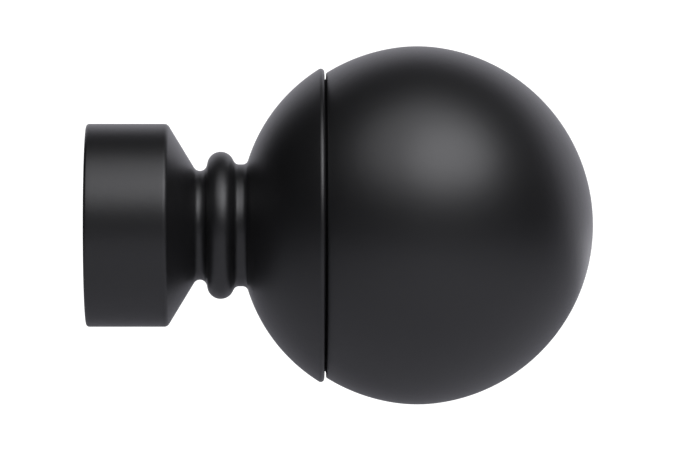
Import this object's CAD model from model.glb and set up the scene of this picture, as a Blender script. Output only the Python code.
"""Ball finial for a 1 inch curtain rod: the visible pieces, their finishes and a small studio.

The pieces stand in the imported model's own frame, in metres: X runs along the rod from the socket's
mouth to the ball, +Y is the wall side and +Z is up. The origin is where the rod's end stops.
Outlines are written in millimetres, as (x, radius), and MM turns them into metres.
"""

from math import acos, atan2, ceil, cos, hypot, pi, radians, sin, sqrt, tan

import bpy
from bpy.props import FloatProperty, FloatVectorProperty, PointerProperty
from bpy.types import Operator, Panel, PropertyGroup
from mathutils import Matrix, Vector


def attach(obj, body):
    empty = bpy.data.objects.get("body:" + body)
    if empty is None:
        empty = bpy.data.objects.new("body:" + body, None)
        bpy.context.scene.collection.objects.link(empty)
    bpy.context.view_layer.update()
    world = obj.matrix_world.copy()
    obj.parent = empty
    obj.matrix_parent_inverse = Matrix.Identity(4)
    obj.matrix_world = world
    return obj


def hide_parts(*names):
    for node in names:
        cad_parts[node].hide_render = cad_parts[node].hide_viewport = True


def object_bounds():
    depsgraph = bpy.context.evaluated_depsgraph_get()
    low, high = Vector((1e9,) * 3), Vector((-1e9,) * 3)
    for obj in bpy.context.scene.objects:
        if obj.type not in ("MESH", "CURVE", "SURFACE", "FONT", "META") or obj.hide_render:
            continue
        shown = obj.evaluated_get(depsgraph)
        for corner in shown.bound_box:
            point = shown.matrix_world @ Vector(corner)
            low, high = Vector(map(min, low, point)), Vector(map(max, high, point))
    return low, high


bl_info = {
    "name": "Curtain Rod Ball Finial",
    "version": (1, 0, 0),
    "blender": (4, 5, 0),
    "location": "View3D > Sidebar > Finial",
    "description": "Models a ball finial with its fixings, its finishes and a studio",
    "category": "Add Mesh",
}

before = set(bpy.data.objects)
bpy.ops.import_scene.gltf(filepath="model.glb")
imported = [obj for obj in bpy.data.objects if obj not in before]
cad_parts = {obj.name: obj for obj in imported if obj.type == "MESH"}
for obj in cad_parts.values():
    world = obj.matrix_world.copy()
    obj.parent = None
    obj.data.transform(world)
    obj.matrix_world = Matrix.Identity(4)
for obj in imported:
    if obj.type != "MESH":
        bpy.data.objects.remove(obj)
CAD_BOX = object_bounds()

MM = 0.001
FULL_TURN = 2 * pi

# Socket, collar and cone
SOCKET_MOUTH_ROUND = 0.5
SOCKET_LEAD_IN = 0.3
CONE_START_X = 0.8
CONE_ANGLE = 58.75
CONE_START_ROUND = 0.9
CORNER_BREAK = 0.25

# Beaded neck
GROOVE_1_X = 6.4
GROOVE_1_ROUND = 1.1
BEAD_CENTRE = (9.18, 9.48)
BEAD_ROUND = 2.13
GROOVE_2 = (11.5, 9.62)
GROOVE_2_ROUND = 0.9

# Cup
CUP_START_ROUND = 0.9
CUP_CENTRE = (38.64, 2.24)
CUP_ROUND = 26.4
CUP_WALL = 2.5
CUP_FLOOR_X = 15.5
LIP_X = 25.5
LIP_ROUND = 0.55
SEAT_X = 23.4

# Ball
WELD_X = 40.0
REAR_CENTRE = (40.75, 0.0)
FRONT_CENTRE = (39.6, 0.0)
WELD_BLEND = 24.0
BALL_WALL = 1.0
SHADOW_GAP = 0.3
NECK_SET_IN = 0.75
NECK_CLEARANCE = 0.12
SHOULDER_ROUND = 0.3

# How far shapes that cut stand out past the surface that they cut
THREAD_OVERRUN = 1.0
CUTTER_OVERRUN = 0.5
BLANK_CLEARANCE = 0.1

# Tie screw, washers, plate and weld nut
COUNTERBORE_RADIUS = 6.5
COUNTERBORE_DEPTH = 12.0
SCREW_HOLE_RADIUS = 3.3
SCREW_RADIUS = 3.0
SCREW_PITCH = 1.0
SCREW_END_X = 33.8
SCREW_END_CHAMFER = 0.8
HEAD_X = 8.8
HEAD_TOP_X = 4.2
HEAD_RADIUS = 6.0
HEAD_EDGE_X = 6.9
CROSS_LENGTH = 6.2
CROSS_WIDTH = 1.3
CROSS_FOOT_LENGTH = 2.6
CROSS_FOOT_WIDTH = 0.9
CROSS_DEPTH = 2.8
CROSS_CLEAR = 0.05
STUB_LENGTH = 1.0
STUB_TOP_INSET = 0.2
STUB_END_INSET = 0.25
WASHER_RADIUS = 6.0
WASHER_BORE = 3.2
WASHER_THICKNESS = 1.6
WASHER_EDGE_ROUND = 0.3
WASHER_BORE_BREAK = 0.1
SPRING_RADIUS = 5.9
SPRING_BORE = 3.05
SPRING_EDGE_ROUND = 0.2
SPRING_SLIT = 0.6
SPRING_SLIT_ANGLE = 20
PLATE_THICKNESS = 1.5
PLATE_CLEARANCE = 0.05
PLATE_HOLE_CLEARANCE = 0.1
PLATE_HOLE_BREAK = 0.2
PILOT_RADIUS = 4.0
PILOT_HEIGHT = 1.3
PILOT_ROUND = 0.15
NUT_ACROSS_FLATS = 11.0
NUT_HEIGHT = 5.0
NUT_CHAMFER_ANGLE = 30
NUT_CHAMFER_REACH = 0.2
NUT_SINK_OUTSIDE = 0.3
NUT_SINK_INSIDE = 0.7
NUT_SINK_SPREAD = 0.5

# Grub screw and its tip
GRUB_X = -6.0
GRUB_INNER_Y = 13.55
GRUB_LENGTH = 3.0
GRUB_RADIUS = 2.0
GRUB_PITCH = 0.7
GRUB_CHAMFER = 0.3
HEX_ACROSS_FLATS = 2.0
HEX_DEPTH = 1.5
TIP_RADIUS = 1.1
TIP_IN_SCREW = 0.8
TIP_PROUD = 0.5
TIP_ROUND = 0.2
TIP_END_BREAK = 0.08
TIP_CLEARANCE = 0.05
THREAD_CLEARANCE = 0.04

# The grub screw hole's countersink: its depth, and its radii at foot and top against the screw's
HOLE_SINK_DEPTH = 0.45
HOLE_SINK_FOOT = -0.3
HOLE_SINK_TOP = 1.15

# How finely outlines and turned shapes are divided, in degrees of arc and in parts of a turn
BROAD_STEP = 1.5
INSIDE_STEP = 4.0
ARC_STEP = 5.0
ROUND_STEP = 10.0
BROAD_TURNS = 256
SMALL_TURNS = 96
THREAD_TURNS = 48
FLOOR_SIDES = 96
MERGE = 1e-6

# The ball's inner skins stop this far apart at the weld, so that they stay two points
WELD_STEP = 0.01

# Edges sharper than this are shaded sharp
SMOOTH_ANGLE = 35
THREADED_SMOOTH_ANGLE = 28

# Where most of a noise texture's values lie
NOISE_RANGE = (0.3, 0.7)


def length_setting(name, description, default, least):
    """A length that a user may change, in metres."""
    return FloatProperty(
        name=name,
        description=description,
        default=default,
        min=least,
        unit="LENGTH",
        precision=5,
    )


def colour_setting(name, description, default):
    """A colour that a user may change."""
    return FloatVectorProperty(
        name=name, description=description, default=default, subtype="COLOR", size=3, min=0, max=1
    )


def power_setting(name, description, default):
    """The power of a light, in watts."""
    return FloatProperty(name=name, description=description, default=default, min=0, unit="POWER")


class FinialSizes(PropertyGroup):
    """Main sizes of the finial."""

    socket_radius: length_setting(
        "Socket Radius", "Radius of the socket that takes the rod", 12.95 * MM, 5 * MM
    )
    socket_depth: length_setting("Socket Depth", "How far the rod goes in", -CAD_BOX[0].x, 5 * MM)
    collar_radius: length_setting("Collar Radius", "Outer radius of the collar", 16 * MM, 8 * MM)
    ball_radius: length_setting(
        "Ball Radius", "Radius of the ball at the weld between its halves", 28.28 * MM, 20 * MM
    )


class FinialFinish(PropertyGroup):
    """Colours of the finial's finishes."""

    powder_colour: colour_setting(
        "Powder Coat", "Colour of the powder coat", (0.0045, 0.0045, 0.0048)
    )
    powder_roughness: FloatProperty(
        name="Powder Coat Roughness",
        description="0 is a mirror and 1 is chalk",
        default=0.42,
        min=0,
        max=1,
        subtype="FACTOR",
    )
    zinc_colour: colour_setting(
        "Zinc Plate", "Colour of the zinc plated screw and washers", (0.62, 0.64, 0.66)
    )
    steel_colour: colour_setting(
        "Bare Steel", "Colour of the plate and the weld nut", (0.42, 0.41, 0.40)
    )
    oxide_colour: colour_setting("Black Oxide", "Colour of the grub screw", (0.03, 0.03, 0.032))
    nylon_colour: colour_setting("Nylon", "Colour of the grub screw's tip", (0.74, 0.73, 0.68))


class StudioSettings(PropertyGroup):
    """Light and camera of the studio."""

    key_power: power_setting("Softbox Power", "Power of the large softbox above the front", 1.87)
    lamp_power: power_setting(
        "Lamp Power", "Power of the smaller lamp, nearer than the softbox and to its right", 0.44
    )
    rim_power: power_setting(
        "Rim Light Power", "Power of the low light behind the ball, on its right", 0.05
    )
    back_power: power_setting("Backdrop Power", "Power of the light panel behind the object", 4.7)
    fill_level: FloatProperty(
        name="Room Light",
        description="Level of the dim light from all round",
        default=0.006,
        min=0,
    )
    lens: FloatProperty(
        name="Lens",
        description="Focal length of the camera",
        default=270.5,
        min=1,
        unit="CAMERA",
    )


# Drawing and turning outlines


def look_away():
    """Leaves edit mode and selects nothing."""
    if bpy.context.mode != "OBJECT":
        bpy.ops.object.mode_set(mode="OBJECT")
    bpy.ops.object.select_all(action="DESELECT")


def pick(piece):
    """Selects one piece and makes it active."""
    look_away()
    piece.select_set(True)
    bpy.context.view_layer.objects.active = piece


def name_piece(name):
    """Names the newest piece and its mesh alike."""
    piece = bpy.context.object
    piece.name = piece.data.name = name
    return piece


def apply_place(piece):
    """Puts the piece's place, turn and scale into its mesh."""
    pick(piece)
    bpy.ops.object.transform_apply(location=True, rotation=True, scale=True)


def on_arc(centre, radius, x):
    """The point at x on the upper half of the circle of that radius about centre."""
    return (x, centre[1] + sqrt(radius**2 - (x - centre[0]) ** 2))


def towards(start, end, distance):
    """The point at that distance from start, on the line to end."""
    length = hypot(end[0] - start[0], end[1] - start[1])
    return tuple(s + (e - s) * distance / length for s, e in zip(start, end))


def bead_tangent(corner, side):
    """Where a line from corner touches the bead. side is 1 before the bead and -1 after it."""
    along, out = corner[0] - BEAD_CENTRE[0], corner[1] - BEAD_CENTRE[1]
    angle = atan2(out, along) - side * acos(BEAD_ROUND / hypot(along, out))
    return (
        BEAD_CENTRE[0] + BEAD_ROUND * cos(angle),
        BEAD_CENTRE[1] + BEAD_ROUND * sin(angle),
    )


class Outline:
    """Half the outline of a turned shape, drawn point by point in edit mode, then spun about X."""

    def __init__(self, name, x, radius):
        look_away()
        bpy.ops.mesh.primitive_plane_add(size=MM, location=(x * MM, 0, radius * MM))
        self.piece = name_piece(name)
        apply_place(self.piece)
        bpy.ops.object.mode_set(mode="EDIT")
        bpy.ops.mesh.select_mode(type="VERT")
        bpy.ops.mesh.select_all(action="SELECT")
        bpy.ops.mesh.merge(type="CENTER")
        self.at = (x, radius)

    def to(self, x, radius, parts=1):
        """A straight run to a point, in so many equal parts."""
        move = ((x - self.at[0]) * MM / parts, 0, (radius - self.at[1]) * MM / parts)
        for _ in range(parts):
            bpy.ops.mesh.extrude_region_move(TRANSFORM_OT_translate={"value": move})
        self.at = (x, radius)

    def arc(self, centre, end, step=ARC_STEP):
        """An arc about centre to a point, in parts of no more than step degrees."""
        first = atan2(self.at[1] - centre[1], self.at[0] - centre[0])
        last = atan2(end[1] - centre[1], end[0] - centre[0])
        sweep = (last - first + pi) % FULL_TURN - pi
        bpy.ops.mesh.spin(
            steps=ceil(abs(sweep) / radians(step)),
            angle=sweep,
            center=(centre[0] * MM, 0, centre[1] * MM),
            axis=(0, 1, 0),
            use_auto_merge=False,
        )
        self.at = end

    def corner(self, point, after, radius, parts=1, step=ROUND_STEP):
        """A run to a corner that is rounded on the way to the next point, in so many parts."""
        before = self.at
        back = atan2(before[1] - point[1], before[0] - point[0])
        ahead = atan2(after[1] - point[1], after[0] - point[0])
        half = abs((ahead - back + pi) % FULL_TURN - pi) / 2
        start = towards(point, before, radius / tan(half))
        end = towards(point, after, radius / tan(half))
        middle = ((start[0] + end[0]) / 2, (start[1] + end[1]) / 2)
        centre = towards(point, middle, radius / sin(half))
        self.to(*start, parts=parts)
        self.arc(centre, end, step)

    def again_from(self, x, radius):
        """Picks up the outline's vertex at a point, to draw on from there."""
        bpy.ops.object.mode_set(mode="OBJECT")
        place = (x * MM, 0, radius * MM)
        vertices = self.piece.data.vertices
        nearest = min(vertices, key=lambda v: sum((a - b) ** 2 for a, b in zip(v.co, place)))
        for vertex in vertices:
            vertex.select = vertex == nearest
        for edge in self.piece.data.edges:
            edge.select = False
        bpy.ops.object.mode_set(mode="EDIT")
        self.at = (x, radius)

    def turn(self, turns):
        """Spins the outline about X into a closed shape."""
        bpy.ops.mesh.select_all(action="SELECT")
        bpy.ops.mesh.spin(
            steps=turns, angle=FULL_TURN, center=(0, 0, 0), axis=(1, 0, 0), use_auto_merge=True
        )
        tidy_mesh()
        look_away()
        return self.piece


def tidy_mesh():
    """Merges doubles and turns every face outwards. Works in edit mode."""
    bpy.ops.mesh.select_all(action="SELECT")
    bpy.ops.mesh.remove_doubles(threshold=MERGE)
    bpy.ops.mesh.normals_make_consistent(inside=False)


def select_points(piece, wanted):
    """Selects a piece's points by a test of each, and what lies between them, in edit mode."""
    pick(piece)
    bpy.ops.object.mode_set(mode="EDIT")
    bpy.ops.mesh.select_mode(type="VERT")
    bpy.ops.mesh.select_all(action="DESELECT")
    bpy.ops.object.mode_set(mode="OBJECT")
    for vertex in piece.data.vertices:
        vertex.select = wanted(vertex)
    bpy.ops.object.mode_set(mode="EDIT")
    bpy.ops.mesh.select_mode(type="EDGE")
    bpy.ops.mesh.select_mode(type="VERT")


def join_shapes(piece, other, operation):
    """Cuts, joins or intersects a piece with another shape, which is then deleted."""
    pick(piece)
    bpy.ops.object.modifier_add(type="BOOLEAN")
    modifier = piece.modifiers[-1]
    modifier.object, modifier.operation, modifier.solver = other, operation, "EXACT"
    bpy.ops.object.modifier_apply(modifier=modifier.name)
    pick(other)
    bpy.ops.object.delete()
    pick(piece)


def thread(name, radius, pitch, start, end, clearance=0.0):
    """A closed helical thread about X, with 60 degree flanks, an eighth flat at the crest and a
    quarter flat at the root. It reaches past start and end by a little under half a pitch."""
    flank = 5 * pitch / 16
    crest, root = radius + clearance, radius + clearance - flank * tan(radians(60))
    x = start - 2 * pitch
    line = Outline(name, x, root)
    line.to(x + flank, crest)
    line.to(x + flank + pitch / 8, crest)
    line.to(x + 2 * flank + pitch / 8, root)
    line.to(x + pitch, root)
    piece = line.piece
    pick(piece)
    bpy.ops.object.modifier_add(type="SCREW")
    screw = piece.modifiers[-1]
    screw.axis, screw.angle, screw.screw_offset = "X", FULL_TURN, pitch * MM
    screw.iterations = ceil((end - start) / pitch) + 4
    screw.steps = screw.render_steps = THREAD_TURNS
    bpy.ops.object.modifier_apply(modifier=screw.name)
    bpy.ops.object.mode_set(mode="EDIT")
    tidy_mesh()
    for x, outward in ((start - 0.4 * pitch, -1), (end + 0.4 * pitch, 1)):
        bpy.ops.mesh.select_all(action="SELECT")
        bpy.ops.mesh.bisect(
            plane_co=(x * MM, 0, 0),
            plane_no=(outward, 0, 0),
            use_fill=True,
            clear_outer=True,
            threshold=0.1 * MERGE,
        )
    tidy_mesh()
    look_away()
    return piece


def hexagon(name, across_flats, start, end):
    """A hexagonal bar along X."""
    look_away()
    bpy.ops.mesh.primitive_cylinder_add(
        vertices=6,
        radius=across_flats * MM / sqrt(3),
        depth=(end - start) * MM,
        location=((start + end) / 2 * MM, 0, 0),
        rotation=(0, pi / 2, 0),
    )
    piece = name_piece(name)
    apply_place(piece)
    look_away()
    return piece


def stand_on_y(piece):
    """Turns a shape that was made about X so that it runs along Y, at the grub screw's place."""
    piece.rotation_euler = (0, 0, pi / 2)
    piece.location = (GRUB_X * MM, 0, 0)
    apply_place(piece)


def finish_piece(piece, material, body, nodes, smooth_angle=SMOOTH_ANGLE):
    """Checks that a piece is closed, smooths its shading and gives it finish, body and slot."""
    pick(piece)
    bpy.ops.object.mode_set(mode="EDIT")
    bpy.ops.mesh.select_mode(type="VERT")
    tidy_mesh()
    bpy.ops.mesh.select_all(action="DESELECT")
    bpy.ops.mesh.select_non_manifold()
    bpy.ops.object.mode_set(mode="OBJECT")
    open_points = sum(v.select for v in piece.data.vertices)
    if open_points:
        raise RuntimeError(f"{piece.name} is not closed: {open_points} points")
    bpy.ops.object.shade_smooth_by_angle(angle=radians(smooth_angle))
    piece.data.materials.clear()
    piece.data.materials.append(material)
    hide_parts(*nodes)
    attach(piece, body)
    print(piece.name, len(piece.data.polygons), "faces")
    look_away()


# Finishes


def node_group(name, inputs, outputs):
    """A shader node group with those sockets, and its input and output nodes.

    The nodes are None if the group is there already, because it is built only once.
    """
    tree = bpy.data.node_groups.get(name)
    if tree:
        return tree, None, None
    tree = bpy.data.node_groups.new(name, "ShaderNodeTree")
    for label, kind, value in inputs:
        made = tree.interface.new_socket(label, in_out="INPUT", socket_type="NodeSocket" + kind)
        if value is not None:
            made.default_value = value
    for label, kind in outputs:
        tree.interface.new_socket(label, in_out="OUTPUT", socket_type="NodeSocket" + kind)
    start = tree.nodes.new("NodeGroupInput")
    end = tree.nodes.new("NodeGroupOutput")
    return tree, start, end


def noise(tree, vector, scale, detail, roughness=0.5):
    """A noise texture. scale is a socket, or a number of cells in a metre."""
    made = tree.nodes.new("ShaderNodeTexNoise")
    tree.links.new(vector, made.inputs["Vector"])
    if isinstance(scale, (int, float)):
        made.inputs["Scale"].default_value = scale
    else:
        tree.links.new(scale, made.inputs["Scale"])
    made.inputs["Detail"].default_value = detail
    made.inputs["Roughness"].default_value = roughness
    return made.outputs["Fac"]


def maths(tree, operation, *values, clamp=False):
    """A Math node. Its values are numbers or sockets."""
    made = tree.nodes.new("ShaderNodeMath")
    made.operation, made.use_clamp = operation, clamp
    for slot, value in zip(made.inputs, values):
        if isinstance(value, (int, float)):
            slot.default_value = value
        else:
            tree.links.new(value, slot)
    return made.outputs[0]


def spread(tree, value, low, high):
    """A noise texture's value, spread from low to high."""
    made = tree.nodes.new("ShaderNodeMapRange")
    tree.links.new(value, made.inputs["Value"])
    made.inputs["From Min"].default_value, made.inputs["From Max"].default_value = NOISE_RANGE
    made.inputs["To Min"].default_value = low
    made.inputs["To Max"].default_value = high
    return made.outputs["Result"]


def skin_group():
    """Peel and grain of a sprayed or moulded skin, with broad clouds of tone."""
    tree, start, end = node_group(
        "Skin",
        [
            ("Vector", "Vector", None),
            ("Peel Scale", "Float", 700.0),
            ("Grain Scale", "Float", 4200.0),
            ("Grain Share", "Float", 0.35),
        ],
        [("Height", "Float"), ("Clouds", "Float"), ("Grain", "Float")],
    )
    if start:
        vector = start.outputs["Vector"]
        peel = noise(tree, vector, start.outputs["Peel Scale"], 2.0)
        grain = noise(tree, vector, start.outputs["Grain Scale"], 3.0, 0.6)
        clouds = noise(tree, vector, 45.0, 3.0)
        fine = maths(tree, "MULTIPLY", grain, start.outputs["Grain Share"])
        tree.links.new(maths(tree, "ADD", peel, fine), end.inputs["Height"])
        tree.links.new(clouds, end.inputs["Clouds"])
        tree.links.new(grain, end.inputs["Grain"])
    return tree


def metal_group():
    """Blotches, pits and drawn lines of a plain metal surface."""
    tree, start, end = node_group(
        "Metal Surface",
        [
            ("Vector", "Vector", None),
            ("Blotch Scale", "Float", 260.0),
            ("Line Stretch", "Vector", (1.0, 1.0, 1.0)),
            ("Line Scale", "Float", 2500.0),
        ],
        [("Blotches", "Float"), ("Lines", "Float"), ("Height", "Float")],
    )
    if start:
        vector = start.outputs["Vector"]
        blotches = noise(tree, vector, start.outputs["Blotch Scale"], 4.0, 0.6)
        stretched = tree.nodes.new("ShaderNodeVectorMath")
        stretched.operation = "MULTIPLY"
        tree.links.new(vector, stretched.inputs[0])
        tree.links.new(start.outputs["Line Stretch"], stretched.inputs[1])
        lines = noise(tree, stretched.outputs[0], start.outputs["Line Scale"], 3.0, 0.7)
        pits = noise(tree, vector, 3800.0, 2.0)
        tree.links.new(blotches, end.inputs["Blotches"])
        tree.links.new(lines, end.inputs["Lines"])
        tree.links.new(maths(tree, "ADD", lines, pits), end.inputs["Height"])
    return tree


def wear_group():
    """A mask of the edges where handling has rubbed the finish."""
    tree, start, end = node_group(
        "Edge Wear",
        [("Vector", "Vector", None), ("Amount", "Float", 1.0)],
        [("Mask", "Float")],
    )
    if start:
        bevel = tree.nodes.new("ShaderNodeBevel")
        bevel.samples = 6
        bevel.inputs["Radius"].default_value = 0.12 * MM
        geometry = tree.nodes.new("ShaderNodeNewGeometry")
        dot = tree.nodes.new("ShaderNodeVectorMath")
        dot.operation = "DOT_PRODUCT"
        tree.links.new(bevel.outputs["Normal"], dot.inputs[0])
        tree.links.new(geometry.outputs["Normal"], dot.inputs[1])
        edge = maths(tree, "SUBTRACT", 1.0, dot.outputs["Value"])
        broken = noise(tree, start.outputs["Vector"], 1800.0, 4.0, 0.65)
        rubbed = maths(tree, "MULTIPLY", maths(tree, "MULTIPLY", edge, broken), 9.0)
        mask = maths(tree, "MULTIPLY", rubbed, start.outputs["Amount"], clamp=True)
        tree.links.new(mask, end.inputs["Mask"])
    return tree


def place_group(tree, group, vector, **values):
    """Puts a node group in a material and sets its inputs, named with _ for a space."""
    made = tree.nodes.new("ShaderNodeGroup")
    made.node_tree = group
    tree.links.new(vector, made.inputs["Vector"])
    for label, value in values.items():
        made.inputs[label.replace("_", " ")].default_value = value
    return made.outputs


def shades(tree, factor, colour, darker, lighter):
    """A colour that runs between two shades of itself. Returns the ramp's colour."""
    ramp = tree.nodes.new("ShaderNodeValToRGB")
    for stop, place, share in zip(ramp.color_ramp.elements, NOISE_RANGE, (darker, lighter)):
        stop.position = place
        stop.color = [min(1.0, c * share) for c in colour] + [1]
    tree.links.new(factor, ramp.inputs["Fac"])
    return ramp.outputs["Color"]


def mix_colours(tree, factor, first, second):
    """A colour that runs by a factor from a first one, a socket, to a second, a plain colour."""
    mix = tree.nodes.new("ShaderNodeMix")
    mix.data_type = "RGBA"
    tree.links.new(factor, mix.inputs["Factor"])
    tree.links.new(first, mix.inputs["A"])
    mix.inputs["B"].default_value = (*second, 1)
    return mix.outputs["Result"]


def mix_shaders(tree, share, first, second, output):
    """Sends an output a mix of two shaders, by the share of the second."""
    mix = tree.nodes.new("ShaderNodeMixShader")
    tree.links.new(share, mix.inputs["Fac"])
    tree.links.new(first, mix.inputs[1])
    tree.links.new(second, mix.inputs[2])
    tree.links.new(mix.outputs["Shader"], tree.nodes[output].inputs["Surface"])


def start_material(name):
    """A material, its tree, its Principled BSDF and its Object coordinates.

    The last three are None if the material is there already, because it is built only once.
    """
    material = bpy.data.materials.get(name)
    if material:
        return material, None, None, None
    material = bpy.data.materials.new(name)
    material.use_nodes = True
    tree = material.node_tree
    place = tree.nodes.new("ShaderNodeTexCoord").outputs["Object"]
    return material, tree, tree.nodes["Principled BSDF"], place


def dress(tree, shader, colour, roughness, height, depth):
    """Wires a shader's colour and roughness, and its relief, which is as deep as depth."""
    tree.links.new(colour, shader.inputs["Base Color"])
    tree.links.new(roughness, shader.inputs["Roughness"])
    bump = tree.nodes.new("ShaderNodeBump")
    bump.inputs["Strength"].default_value = 1.0
    bump.inputs["Distance"].default_value = depth
    tree.links.new(height, bump.inputs["Height"])
    tree.links.new(bump.outputs["Normal"], shader.inputs["Normal"])


def powder_coat(finish):
    """Satin black powder coat, with a faint peel and a fine grain."""
    material, tree, shader, place = start_material("Black Powder Coat")
    if tree is None:
        return material
    skin = place_group(
        tree, skin_group(), place, Peel_Scale=650.0, Grain_Scale=4200.0, Grain_Share=0.3
    )
    colour = shades(tree, skin["Clouds"], finish.powder_colour, 0.9, 1.12)
    rough = finish.powder_roughness
    roughness = spread(tree, skin["Grain"], rough - 0.02, rough + 0.02)
    shader.inputs["IOR"].default_value = 1.5
    dress(tree, shader, colour, roughness, skin["Height"], 0.012 * MM)
    return material


def zinc_plate(finish):
    """Bright zinc plate, clouded by its passivation and rubbed at the edges."""
    material, tree, shader, place = start_material("Zinc Plated Steel")
    if tree is None:
        return material
    metal = place_group(tree, metal_group(), place, Blotch_Scale=420.0, Line_Scale=3000.0)
    wear = place_group(tree, wear_group(), place, Amount=0.8)
    plate = shades(tree, metal["Blotches"], finish.zinc_colour, 0.78, 1.1)
    colour = mix_colours(tree, wear["Mask"], plate, (0.75, 0.74, 0.72))
    shader.inputs["Metallic"].default_value = 1.0
    roughness = spread(tree, metal["Blotches"], 0.24, 0.42)
    dress(tree, shader, colour, roughness, metal["Height"], 0.004 * MM)
    return material


def bare_steel(finish):
    """Cold rolled steel, with rolling lines and a little grey oxide."""
    material, tree, shader, place = start_material("Bare Steel")
    if tree is None:
        return material
    metal = place_group(
        tree,
        metal_group(),
        place,
        Blotch_Scale=180.0,
        Line_Stretch=(1.0, 0.06, 1.0),
        Line_Scale=3200.0,
    )
    colour = shades(tree, metal["Blotches"], finish.steel_colour, 0.62, 1.12)
    shader.inputs["Metallic"].default_value = 1.0
    roughness = spread(tree, metal["Lines"], 0.32, 0.5)
    dress(tree, shader, colour, roughness, metal["Height"], 0.006 * MM)
    return material


def black_oxide(finish):
    """Oiled black oxide, with bright steel showing where a key has rubbed the edges."""
    material, tree, shader, place = start_material("Black Oxide Steel")
    if tree is None:
        return material
    metal = place_group(tree, metal_group(), place, Blotch_Scale=900.0, Line_Scale=4200.0)
    wear = place_group(tree, wear_group(), place, Amount=0.7)
    oxide = shades(tree, metal["Blotches"], finish.oxide_colour, 0.7, 1.4)
    colour = mix_colours(tree, wear["Mask"], oxide, (0.35, 0.34, 0.33))
    shader.inputs["Metallic"].default_value = 0.85
    roughness = spread(tree, metal["Blotches"], 0.28, 0.44)
    dress(tree, shader, colour, roughness, metal["Height"], 0.004 * MM)
    return material


def nylon(finish):
    """Natural nylon, slightly see-through, with the skin of the mould."""
    material, tree, shader, place = start_material("Natural Nylon")
    if tree is None:
        return material
    skin = place_group(
        tree, skin_group(), place, Peel_Scale=1500.0, Grain_Scale=6000.0, Grain_Share=0.5
    )
    colour = shades(tree, skin["Clouds"], finish.nylon_colour, 0.95, 1.05)
    roughness = spread(tree, skin["Grain"], 0.42, 0.52)
    shader.inputs["Subsurface Weight"].default_value = 0.25
    shader.inputs["Subsurface Radius"].default_value = (0.4, 0.38, 0.32)
    shader.inputs["Subsurface Scale"].default_value = MM
    dress(tree, shader, colour, roughness, skin["Height"], 0.01 * MM)
    return material


# Shared measures of the ball


def ball_spheres(ball_radius):
    """Radii of the rear half, of the front half and of the rear half's set-in neck."""
    rear = hypot(ball_radius, REAR_CENTRE[0] - WELD_X)
    front = hypot(ball_radius, FRONT_CENTRE[0] - WELD_X)
    return rear, front, rear - NECK_SET_IN


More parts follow.
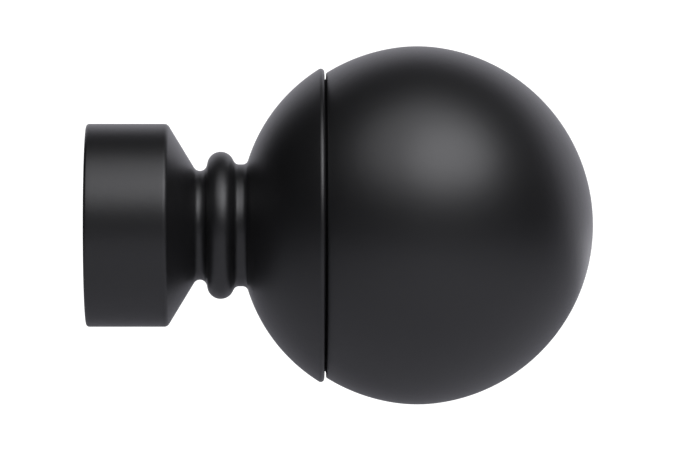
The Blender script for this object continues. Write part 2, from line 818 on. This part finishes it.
class FINIAL_OT_neck(Operator):
    """Makes the collar, beaded neck and cup, with the threaded hole for the grub screw"""

    bl_idname = "finial.neck"
    bl_label = "Neck Casting"
    bl_options = {"REGISTER", "UNDO"}

    def execute(self, context):
        sizes = context.scene.finial_sizes
        mouth_x = -sizes.socket_depth / MM
        bore = sizes.socket_radius / MM
        collar = sizes.collar_radius / MM
        mouth_bore = (mouth_x, bore + SOCKET_LEAD_IN)
        mouth_edge = (mouth_x, collar)
        cone_start = (CONE_START_X, collar)
        drop = tan(radians(CONE_ANGLE)) * (GROOVE_1_X - CONE_START_X)
        groove_1 = (GROOVE_1_X, collar - drop)
        bead_start = bead_tangent(groove_1, 1)
        bead_end = bead_tangent(GROOVE_2, -1)

        # The round from the neck into the cup touches the neck's line and the cup's circle
        start_out = GROOVE_2[1] + CUP_START_ROUND
        start_run = sqrt((CUP_ROUND + CUP_START_ROUND) ** 2 - (start_out - CUP_CENTRE[1]) ** 2)
        start_centre = (CUP_CENTRE[0] - start_run, start_out)
        neck_end = (start_centre[0], GROOVE_2[1])
        cup_start = towards(CUP_CENTRE, start_centre, CUP_ROUND)

        # The lip's round touches the cup's circle and the lip's face, from inside
        lip_centre = on_arc(CUP_CENTRE, CUP_ROUND - LIP_ROUND, LIP_X - LIP_ROUND)
        lip_start = towards(CUP_CENTRE, lip_centre, CUP_ROUND)
        lip_end = (LIP_X, lip_centre[1])

        bore_sphere = ball_spheres(sizes.ball_radius / MM)[2] + NECK_CLEARANCE
        lip_bore = on_arc(REAR_CENTRE, bore_sphere, LIP_X)
        seat_outer = on_arc(REAR_CENTRE, bore_sphere, SEAT_X)
        seat_inner = on_arc(CUP_CENTRE, CUP_ROUND - CUP_WALL, SEAT_X)
        cup_floor = on_arc(CUP_CENTRE, CUP_ROUND - CUP_WALL, CUP_FLOOR_X)
        stop_outer, stop_inner = (0.0, bore), (0.0, COUNTERBORE_RADIUS)
        counterbore = (COUNTERBORE_DEPTH, COUNTERBORE_RADIUS)

        line = Outline("neck_casting_visual", *mouth_bore)
        line.corner(mouth_edge, cone_start, SOCKET_MOUTH_ROUND)
        line.corner(cone_start, groove_1, CONE_START_ROUND, parts=14, step=6)
        line.corner(groove_1, bead_start, GROOVE_1_ROUND, parts=6)
        line.to(*bead_start)
        line.arc(BEAD_CENTRE, bead_end)
        line.corner(GROOVE_2, neck_end, GROOVE_2_ROUND)
        line.to(*neck_end)
        line.arc(start_centre, cup_start)
        line.arc(CUP_CENTRE, lip_start, BROAD_STEP)
        line.arc(lip_centre, lip_end)
        line.to(*lip_bore)
        line.arc(REAR_CENTRE, seat_outer)
        line.to(*seat_inner)
        line.arc(CUP_CENTRE, cup_floor)
        line.to(CUP_FLOOR_X, SCREW_HOLE_RADIUS)
        line.to(COUNTERBORE_DEPTH, SCREW_HOLE_RADIUS)
        line.corner(counterbore, stop_inner, CORNER_BREAK)
        line.corner(stop_inner, stop_outer, CORNER_BREAK)
        line.corner(stop_outer, mouth_edge, CORNER_BREAK)
        line.to(mouth_x + SOCKET_LEAD_IN, bore, parts=12)
        line.to(*mouth_bore)
        piece = line.turn(BROAD_TURNS)

        hole_start, hole_end = bore - THREAD_OVERRUN, collar + THREAD_OVERRUN
        tap = thread("tap", GRUB_RADIUS, GRUB_PITCH, hole_start, hole_end, THREAD_CLEARANCE)
        sink = Outline("sink", collar - HOLE_SINK_DEPTH, 0)
        sink.to(collar - HOLE_SINK_DEPTH, GRUB_RADIUS + HOLE_SINK_FOOT)
        sink.to(hole_end, GRUB_RADIUS + HOLE_SINK_TOP)
        sink.to(hole_end, 0)
        for cutter in (tap, sink.turn(THREAD_TURNS)):
            stand_on_y(cutter)
            join_shapes(piece, cutter, "DIFFERENCE")
        finish = context.scene.finial_finish
        finish_piece(piece, powder_coat(finish), "finial", ["neck_casting"])
        return {"FINISHED"}


class FINIAL_OT_ball(Operator):
    """Makes the hollow ball, its two pressings joined by a weld that is ground smooth"""

    bl_idname = "finial.ball"
    bl_label = "Ball"
    bl_options = {"REGISTER", "UNDO"}

    def execute(self, context):
        rear, front, neck = ball_spheres(context.scene.finial_sizes.ball_radius / MM)
        shoulder_x = LIP_X + SHADOW_GAP
        inner_x = shoulder_x + BALL_WALL
        neck_edge = on_arc(REAR_CENTRE, neck, SEAT_X)
        neck_top = on_arc(REAR_CENTRE, neck, shoulder_x)

        # The shoulder's round touches the flat shoulder and the rear sphere, from inside
        round_centre = on_arc(REAR_CENTRE, rear - SHOULDER_ROUND, shoulder_x + SHOULDER_ROUND)
        round_start = (shoulder_x, round_centre[1])
        round_end = towards(REAR_CENTRE, round_centre, rear)

        # The ground weld is an arc that touches both halves from inside
        reach_rear, reach_front = rear - WELD_BLEND, front - WELD_BLEND
        gap = REAR_CENTRE[0] - FRONT_CENTRE[0]
        blend_x = (
            REAR_CENTRE[0] ** 2 - FRONT_CENTRE[0] ** 2 - reach_rear**2 + reach_front**2
        ) / (2 * gap)
        blend_centre = (blend_x, sqrt(reach_rear**2 - (blend_x - REAR_CENTRE[0]) ** 2))
        blend_start = towards(REAR_CENTRE, blend_centre, rear)
        blend_end = towards(FRONT_CENTRE, blend_centre, front)

        line = Outline("ball_visual", *neck_edge)
        line.arc(REAR_CENTRE, neck_top)
        line.to(*round_start)
        line.arc(round_centre, round_end)
        line.arc(REAR_CENTRE, blend_start, BROAD_STEP)
        line.arc(blend_centre, blend_end, BROAD_STEP)
        line.arc(FRONT_CENTRE, (FRONT_CENTRE[0] + front, 0.0), BROAD_STEP)
        line.again_from(*neck_edge)
        line.to(*on_arc(REAR_CENTRE, neck - BALL_WALL, SEAT_X))
        line.arc(REAR_CENTRE, on_arc(REAR_CENTRE, neck - BALL_WALL, inner_x))
        line.to(*on_arc(REAR_CENTRE, rear - BALL_WALL, inner_x))
        line.arc(REAR_CENTRE, on_arc(REAR_CENTRE, rear - BALL_WALL, WELD_X), INSIDE_STEP)
        line.to(*on_arc(FRONT_CENTRE, front - BALL_WALL, WELD_X + WELD_STEP))
        line.arc(FRONT_CENTRE, (FRONT_CENTRE[0] + front - BALL_WALL, 0.0), INSIDE_STEP)
        piece = line.turn(BROAD_TURNS)
        finish = context.scene.finial_finish
        nodes = ["ball_rear_pressing", "ball_front_pressing"]
        finish_piece(piece, powder_coat(finish), "finial", nodes)
        return {"FINISHED"}


class FINIAL_OT_plate(Operator):
    """Makes the plate inside the ball that carries the weld nut"""

    bl_idname = "finial.plate"
    bl_label = "Bridge Plate"
    bl_options = {"REGISTER", "UNDO"}

    def execute(self, context):
        rear = ball_spheres(context.scene.finial_sizes.ball_radius / MM)[0]
        sphere = rear - BALL_WALL - PLATE_CLEARANCE
        start_x = LIP_X + SHADOW_GAP + BALL_WALL
        end_x = start_x + PLATE_THICKNESS
        hole = PILOT_RADIUS + PLATE_HOLE_CLEARANCE
        edge, end = on_arc(REAR_CENTRE, sphere, start_x), on_arc(REAR_CENTRE, sphere, end_x)
        line = Outline("bridge_plate_visual", start_x, hole + PLATE_HOLE_BREAK)
        line.to(*edge, parts=8)
        line.arc(REAR_CENTRE, end)
        line.corner((end_x, hole), (start_x, hole), PLATE_HOLE_BREAK, parts=8)
        line.to(start_x + PLATE_HOLE_BREAK, hole)
        line.to(start_x, hole + PLATE_HOLE_BREAK)
        piece = line.turn(SMALL_TURNS)
        finish = context.scene.finial_finish
        finish_piece(piece, bare_steel(finish), "finial", ["bridge_plate"])
        return {"FINISHED"}


class FINIAL_OT_nut(Operator):
    """Makes the hexagonal weld nut, with its pilot, chamfers and thread"""

    bl_idname = "finial.nut"
    bl_label = "Weld Nut"
    bl_options = {"REGISTER", "UNDO"}

    def execute(self, context):
        start_x = LIP_X + SHADOW_GAP + BALL_WALL + PLATE_THICKNESS
        end_x = start_x + NUT_HEIGHT
        reach = NUT_ACROSS_FLATS / sqrt(3) + NUT_CHAMFER_REACH
        fall = tan(radians(NUT_CHAMFER_ANGLE)) * (reach - NUT_ACROSS_FLATS / 2)
        pilot_x = start_x - PILOT_HEIGHT
        past_start, past_end = start_x - THREAD_OVERRUN, end_x + THREAD_OVERRUN
        piece = hexagon("weld_nut_visual", NUT_ACROSS_FLATS, start_x, past_end)
        chamfer = Outline("chamfer", past_start, 0)
        chamfer.to(past_start, reach)
        chamfer.to(end_x - fall, reach)
        chamfer.to(end_x, NUT_ACROSS_FLATS / 2)
        chamfer.to(end_x, 0)
        join_shapes(piece, chamfer.turn(SMALL_TURNS), "INTERSECT")
        pilot = Outline("pilot", pilot_x, 0)
        pilot.corner((pilot_x, PILOT_RADIUS), (start_x, PILOT_RADIUS), PILOT_ROUND)
        pilot.to(start_x + THREAD_OVERRUN, PILOT_RADIUS)
        pilot.to(start_x + THREAD_OVERRUN, 0)
        join_shapes(piece, pilot.turn(SMALL_TURNS), "UNION")
        hole_start = pilot_x - THREAD_OVERRUN
        tap = thread("tap", SCREW_RADIUS, SCREW_PITCH, hole_start, past_end, THREAD_CLEARANCE)
        join_shapes(piece, tap, "DIFFERENCE")
        for face_x, inward in ((pilot_x, 1), (end_x, -1)):
            outside = face_x - inward * NUT_SINK_OUTSIDE
            inside = face_x + inward * NUT_SINK_INSIDE
            sink = Outline("sink", outside, 0)
            sink.to(outside, SCREW_RADIUS + NUT_SINK_SPREAD)
            sink.to(inside, SCREW_RADIUS - NUT_SINK_SPREAD)
            sink.to(inside, 0)
            join_shapes(piece, sink.turn(THREAD_TURNS), "DIFFERENCE")
        finish = context.scene.finial_finish
        finish_piece(piece, bare_steel(finish), "finial", ["weld_nut"])
        return {"FINISHED"}


class FINIAL_OT_tie_screw(Operator):
    """Makes the pan head screw with its cross recess and thread"""

    bl_idname = "finial.tie_screw"
    bl_label = "Tie Screw"
    bl_options = {"REGISTER", "UNDO"}

    def execute(self, context):
        edge = (HEAD_EDGE_X, HEAD_RADIUS)
        rise = HEAD_EDGE_X - HEAD_TOP_X
        crown_round = (HEAD_RADIUS**2 + rise**2) / (2 * rise)
        underside = (HEAD_X, HEAD_RADIUS)
        line = Outline("tie_screw_visual", HEAD_TOP_X, 0)
        line.arc((HEAD_TOP_X + crown_round, 0), edge)
        line.corner(underside, (HEAD_X, SCREW_RADIUS), CORNER_BREAK)
        line.to(HEAD_X, SCREW_RADIUS - STUB_TOP_INSET)
        line.to(HEAD_X + STUB_LENGTH, SCREW_RADIUS - STUB_END_INSET)
        line.to(HEAD_X + STUB_LENGTH, 0)
        piece = line.turn(SMALL_TURNS)

        shank_start, shank_end = HEAD_X - THREAD_OVERRUN, SCREW_END_X + THREAD_OVERRUN
        shank = thread("shank", SCREW_RADIUS, SCREW_PITCH, shank_start, shank_end)
        blank = Outline("blank", HEAD_X - CUTTER_OVERRUN, 0)
        blank.to(HEAD_X - CUTTER_OVERRUN, SCREW_RADIUS + BLANK_CLEARANCE)
        blank.to(SCREW_END_X - SCREW_END_CHAMFER, SCREW_RADIUS + BLANK_CLEARANCE)
        blank.to(SCREW_END_X, SCREW_RADIUS - SCREW_END_CHAMFER)
        blank.to(SCREW_END_X, 0)
        join_shapes(shank, blank.turn(SMALL_TURNS), "INTERSECT")
        join_shapes(piece, shank, "UNION")
        join_shapes(piece, self.cross(), "DIFFERENCE")
        finish_piece(
            piece,
            zinc_plate(context.scene.finial_finish),
            "finial",
            ["tie_screw"],
            THREADED_SMOOTH_ANGLE,
        )
        return {"FINISHED"}

    def cross(self):
        """The tapered cross that is cut from the head. It starts just clear of the crown."""
        look_away()
        top_x = HEAD_TOP_X - CROSS_CLEAR
        bpy.ops.mesh.primitive_plane_add(
            size=CROSS_WIDTH * MM, location=(top_x * MM, 0, 0), rotation=(0, pi / 2, 0)
        )
        piece = name_piece("cross")
        apply_place(piece)
        half = CROSS_WIDTH * MM / 2
        arm = (CROSS_LENGTH - CROSS_WIDTH) / 2 * MM
        for axis, side in ((1, 1), (1, -1), (2, 1), (2, -1)):
            select_points(
                piece,
                lambda v: abs(v.co[axis] - side * half) < MERGE
                and abs(v.co[3 - axis]) < half + MERGE,
            )
            move = [0.0, 0.0, 0.0]
            move[axis] = side * arm
            bpy.ops.mesh.extrude_region_move(TRANSFORM_OT_translate={"value": move})
        bpy.ops.mesh.select_all(action="SELECT")
        bpy.ops.mesh.extrude_region_move(TRANSFORM_OT_translate={"value": (CROSS_DEPTH * MM, 0, 0)})
        foot = (CROSS_DEPTH * MM + top_x * MM, 0, 0)
        narrow = CROSS_FOOT_WIDTH / CROSS_WIDTH
        short = CROSS_FOOT_LENGTH / (CROSS_LENGTH * narrow)
        bpy.ops.transform.resize(value=(1, narrow, narrow), center_override=foot)
        for axis in (1, 2):
            select_points(
                piece,
                lambda v: abs(v.co.x - foot[0]) < MERGE
                and abs(v.co[axis]) > CROSS_FOOT_WIDTH * MM,
            )
            value = [1.0, 1.0, 1.0]
            value[axis] = short
            bpy.ops.transform.resize(value=value, center_override=foot)
        tidy_mesh()
        look_away()
        return piece


class FINIAL_OT_washers(Operator):
    """Makes the split spring washer and the plain washer under the screw's head"""

    bl_idname = "finial.washers"
    bl_label = "Washers"
    bl_options = {"REGISTER", "UNDO"}

    def execute(self, context):
        finish = context.scene.finial_finish
        spring = self.ring(
            "spring_washer_visual", HEAD_X, SPRING_RADIUS, SPRING_BORE, SPRING_EDGE_ROUND
        )
        look_away()
        bpy.ops.mesh.primitive_cube_add(
            size=MM,
            location=((HEAD_X + WASHER_THICKNESS / 2) * MM, 0, SPRING_RADIUS * MM),
            rotation=(0, 0, radians(SPRING_SLIT_ANGLE)),
            scale=(3 * WASHER_THICKNESS, SPRING_SLIT, 2 * SPRING_RADIUS),
        )
        slit = name_piece("slit")
        apply_place(slit)
        join_shapes(spring, slit, "DIFFERENCE")
        plain_x = HEAD_X + WASHER_THICKNESS
        plain = self.ring(
            "plain_washer_visual", plain_x, WASHER_RADIUS, WASHER_BORE, WASHER_EDGE_ROUND
        )
        for piece, node in ((spring, "spring_washer"), (plain, "plain_washer")):
            finish_piece(piece, zinc_plate(finish), "finial", [node])
        return {"FINISHED"}

    def ring(self, name, x, outer, inner, edge_round):
        """A flat ring with rounded outer edges and broken inner ones."""
        end = x + WASHER_THICKNESS
        line = Outline(name, x, inner + WASHER_BORE_BREAK)
        line.corner((x, outer), (end, outer), edge_round)
        line.corner((end, outer), (end, inner), edge_round)
        line.corner((end, inner), (x, inner), WASHER_BORE_BREAK)
        line.corner((x, inner), (x, outer), WASHER_BORE_BREAK)
        return line.turn(SMALL_TURNS)


class FINIAL_OT_grub_screw(Operator):
    """Makes the grub screw with its hexagon socket and thread, and its nylon tip"""

    bl_idname = "finial.grub_screw"
    bl_label = "Grub Screw and Tip"
    bl_options = {"REGISTER", "UNDO"}

    def execute(self, context):
        finish = context.scene.finial_finish
        start, end = GRUB_INNER_Y, GRUB_INNER_Y + GRUB_LENGTH

        # The helix starts where the hole's does, so that the two threads stay in mesh
        hole_start = context.scene.finial_sizes.socket_radius / MM - THREAD_OVERRUN
        past_end = end + CUTTER_OVERRUN
        piece = thread("grub_screw_visual", GRUB_RADIUS, GRUB_PITCH, hole_start, past_end)
        blank = Outline("blank", start, 0)
        blank.to(start, GRUB_RADIUS - GRUB_CHAMFER)
        blank.to(start + GRUB_CHAMFER + BLANK_CLEARANCE, GRUB_RADIUS + BLANK_CLEARANCE)
        blank.to(end - GRUB_CHAMFER - BLANK_CLEARANCE, GRUB_RADIUS + BLANK_CLEARANCE)
        blank.to(end, GRUB_RADIUS - GRUB_CHAMFER)
        blank.to(end, 0)
        join_shapes(piece, blank.turn(SMALL_TURNS), "INTERSECT")

        socket = hexagon("socket", HEX_ACROSS_FLATS, end - HEX_DEPTH, past_end)
        join_shapes(piece, socket, "DIFFERENCE")
        hole_radius = TIP_RADIUS + TIP_CLEARANCE
        hole_end = start + TIP_IN_SCREW + TIP_CLEARANCE
        hole = Outline("hole", start - CUTTER_OVERRUN, 0)
        hole.to(start - CUTTER_OVERRUN, hole_radius)
        hole.to(hole_end, hole_radius)
        hole.to(hole_end, 0)
        join_shapes(piece, hole.turn(THREAD_TURNS), "DIFFERENCE")
        stand_on_y(piece)
        finish_piece(
            piece,
            black_oxide(finish),
            "clamp_screw",
            ["grub_screw"],
            THREADED_SMOOTH_ANGLE,
        )

        tip_start, tip_end = start - TIP_PROUD, start + TIP_IN_SCREW
        tip = Outline("grub_screw_tip_visual", tip_start, 0)
        tip.corner((tip_start, TIP_RADIUS), (tip_end, TIP_RADIUS), TIP_ROUND)
        tip.corner((tip_end, TIP_RADIUS), (tip_end, 0), TIP_END_BREAK)
        tip.to(tip_end, 0)
        tip_piece = tip.turn(THREAD_TURNS)
        stand_on_y(tip_piece)
        finish_piece(tip_piece, nylon(finish), "clamp_tip", ["grub_screw_tip"])
        return {"FINISHED"}


# Studio: the floor is 80 mm under the rod's axis and fades to white, as the room does
FLOOR_Z = -80 * MM
FLOOR_RADIUS = 3.0
FADE_START = 0.22
FADE_END = 0.5
CLEAR_WHITE = 1.2
FLOOR_ROUGHNESS = 0.9
ROOM_COLOUR = (0.95, 0.97, 1.0)
CAMERA_TARGET = (27.6 * MM, 0.0, 0.05 * MM)
CAMERA_DISTANCE = 0.8
CAMERA_YAW = 0.7
SENSOR_WIDTH = 36
CLIP_START = 0.01
KEY_AZIMUTH = 8
KEY_ELEVATION = 52
KEY_DISTANCE = 0.45
KEY_SIZE = (0.76, 0.5)
KEY_COLOUR = (0.98, 0.98, 1.02)
LAMP_AZIMUTH = 24
LAMP_ELEVATION = 41
LAMP_DISTANCE = 0.3
LAMP_SIZE = (0.28, 0.22)
RIM_AZIMUTH = 145
RIM_ELEVATION = -5
RIM_DISTANCE = 0.5
RIM_SIZE = (0.3, 0.06)
BACK_PLACE = (0.5, 0.6, 0.3)
BACK_SIZE = (1.8, 0.76)
BACK_COLOUR = (0.96, 0.95, 1.04)
FLOOR_COLOUR = (0.78, 0.78, 0.82)


def add_panel(name, shape, place, aim, size, power, colour):
    """A flat light that faces a point and that the camera doesn't see."""
    bpy.ops.object.light_add(type="AREA", location=place)
    lamp = bpy.context.object
    lamp.name = lamp.data.name = name
    lamp.data.shape = shape
    lamp.data.size, lamp.data.size_y = size
    lamp.data.energy = power
    lamp.data.color = colour
    lamp.visible_camera = False
    direction = aim - lamp.location
    lamp.rotation_euler = direction.to_track_quat("-Z", "Y").to_euler()


class FINIAL_OT_studio(Operator):
    """Makes the pale floor, the lights, the white room and the camera"""

    bl_idname = "finial.studio"
    bl_label = "Studio"
    bl_options = {"REGISTER", "UNDO"}

    def execute(self, context):
        scene = context.scene
        studio = scene.finial_studio
        look_away()
        self.floor()
        middle = Vector((WELD_X * MM, 0, 0))
        for name, power, azimuth, elevation, distance, size in (
            ("softbox", studio.key_power, KEY_AZIMUTH, KEY_ELEVATION, KEY_DISTANCE, KEY_SIZE),
            ("lamp", studio.lamp_power, LAMP_AZIMUTH, LAMP_ELEVATION, LAMP_DISTANCE, LAMP_SIZE),
            ("rim_light", studio.rim_power, RIM_AZIMUTH, RIM_ELEVATION, RIM_DISTANCE, RIM_SIZE),
        ):
            turn, rise = radians(azimuth), radians(elevation)
            way = Vector((sin(turn) * cos(rise), -cos(turn) * cos(rise), sin(rise)))
            add_panel(name, "ELLIPSE", middle + distance * way, middle, size, power, KEY_COLOUR)
        back_place = Vector(BACK_PLACE)
        back_aim = back_place - Vector((0, 1, 0))
        power = studio.back_power
        add_panel("back_panel", "RECTANGLE", back_place, back_aim, BACK_SIZE, power, BACK_COLOUR)
        self.room(scene, studio.fill_level)
        self.camera(scene, studio.lens)
        scene.view_settings.view_transform = "Standard"
        scene.view_settings.look = "None"
        look_away()
        return {"FINISHED"}

    def floor(self):
        """A round pale floor that fades to white for the camera, away from the object."""
        bpy.ops.mesh.primitive_circle_add(
            vertices=FLOOR_SIDES, radius=FLOOR_RADIUS, fill_type="NGON", location=(0, 0, FLOOR_Z)
        )
        floor = name_piece("floor")
        apply_place(floor)
        material = bpy.data.materials.new("Pale Floor")
        material.use_nodes = True
        tree = material.node_tree
        pale = tree.nodes["Principled BSDF"]
        pale.inputs["Base Color"].default_value = (*FLOOR_COLOUR, 1)
        pale.inputs["Roughness"].default_value = FLOOR_ROUGHNESS
        place = tree.nodes.new("ShaderNodeTexCoord").outputs["Object"]
        distance = tree.nodes.new("ShaderNodeVectorMath")
        distance.operation = "LENGTH"
        tree.links.new(place, distance.inputs[0])
        fade = tree.nodes.new("ShaderNodeMapRange")
        fade.interpolation_type = "SMOOTHSTEP"
        tree.links.new(distance.outputs["Value"], fade.inputs["Value"])
        fade.inputs["From Min"].default_value = FADE_START
        fade.inputs["From Max"].default_value = FADE_END
        seen = tree.nodes.new("ShaderNodeLightPath").outputs["Is Camera Ray"]
        share = maths(tree, "MULTIPLY", fade.outputs["Result"], seen)
        white = tree.nodes.new("ShaderNodeEmission")
        white.inputs["Strength"].default_value = CLEAR_WHITE
        mix_shaders(tree, share, pale.outputs["BSDF"], white.outputs["Emission"], "Material Output")
        floor.data.materials.append(material)

    def room(self, scene, level):
        """A room that is white behind the object and gives only a dim light."""
        world = bpy.data.worlds.new("Studio Room")
        scene.world = world
        world.use_nodes = True
        tree = world.node_tree
        dim = tree.nodes["Background"]
        dim.inputs["Strength"].default_value = level
        dim.inputs["Color"].default_value = (*ROOM_COLOUR, 1)
        white = tree.nodes.new("ShaderNodeBackground")
        white.inputs["Color"].default_value = (1, 1, 1, 1)
        white.inputs["Strength"].default_value = CLEAR_WHITE
        seen = tree.nodes.new("ShaderNodeLightPath").outputs["Is Camera Ray"]
        first, second = dim.outputs["Background"], white.outputs["Background"]
        mix_shaders(tree, seen, first, second, "World Output")

    def camera(self, scene, lens):
        """A long lens, level with the rod and a little to the socket's side."""
        yaw = radians(CAMERA_YAW)
        place = (
            CAMERA_TARGET[0] - CAMERA_DISTANCE * sin(yaw),
            CAMERA_TARGET[1] - CAMERA_DISTANCE * cos(yaw),
            CAMERA_TARGET[2],
        )
        bpy.ops.object.camera_add(location=place, rotation=(pi / 2, 0, -yaw))
        camera = bpy.context.object
        camera.name = camera.data.name = "camera"
        camera.data.lens = lens
        camera.data.sensor_width = SENSOR_WIDTH
        camera.data.clip_start = CLIP_START
        scene.camera = camera


class FINIAL_PT_panel(Panel):
    """Lists the finial's pieces, sizes and finishes"""

    bl_idname = "FINIAL_PT_panel"
    bl_label = "Ball Finial"
    bl_space_type = "VIEW_3D"
    bl_region_type = "UI"
    bl_category = "Finial"

    def draw(self, context):
        layout = self.layout
        scene = context.scene
        for title, group in (
            ("Sizes", scene.finial_sizes),
            ("Finishes", scene.finial_finish),
            ("Studio", scene.finial_studio),
        ):
            box = layout.box()
            box.label(text=title)
            for name in group.__annotations__:
                box.prop(group, name)
        for operator in OPERATORS:
            layout.operator(operator.bl_idname)


OPERATORS = (
    FINIAL_OT_studio,
    FINIAL_OT_neck,
    FINIAL_OT_ball,
    FINIAL_OT_plate,
    FINIAL_OT_nut,
    FINIAL_OT_tie_screw,
    FINIAL_OT_washers,
    FINIAL_OT_grub_screw,
)
GROUPS = (FinialSizes, FinialFinish, StudioSettings)


def register():
    for group in (*GROUPS, *OPERATORS, FINIAL_PT_panel):
        bpy.utils.register_class(group)
    bpy.types.Scene.finial_sizes = PointerProperty(type=FinialSizes)
    bpy.types.Scene.finial_finish = PointerProperty(type=FinialFinish)
    bpy.types.Scene.finial_studio = PointerProperty(type=StudioSettings)


def unregister():
    del bpy.types.Scene.finial_studio
    del bpy.types.Scene.finial_finish
    del bpy.types.Scene.finial_sizes
    for group in reversed((*GROUPS, *OPERATORS, FINIAL_PT_panel)):
        bpy.utils.unregister_class(group)


def main():
    """Makes everything."""
    register()
    bpy.ops.finial.studio()
    bpy.ops.finial.neck()
    bpy.ops.finial.ball()
    bpy.ops.finial.plate()
    bpy.ops.finial.nut()
    bpy.ops.finial.tie_screw()
    bpy.ops.finial.washers()
    bpy.ops.finial.grub_screw()


if __name__ == "__main__":
    main()
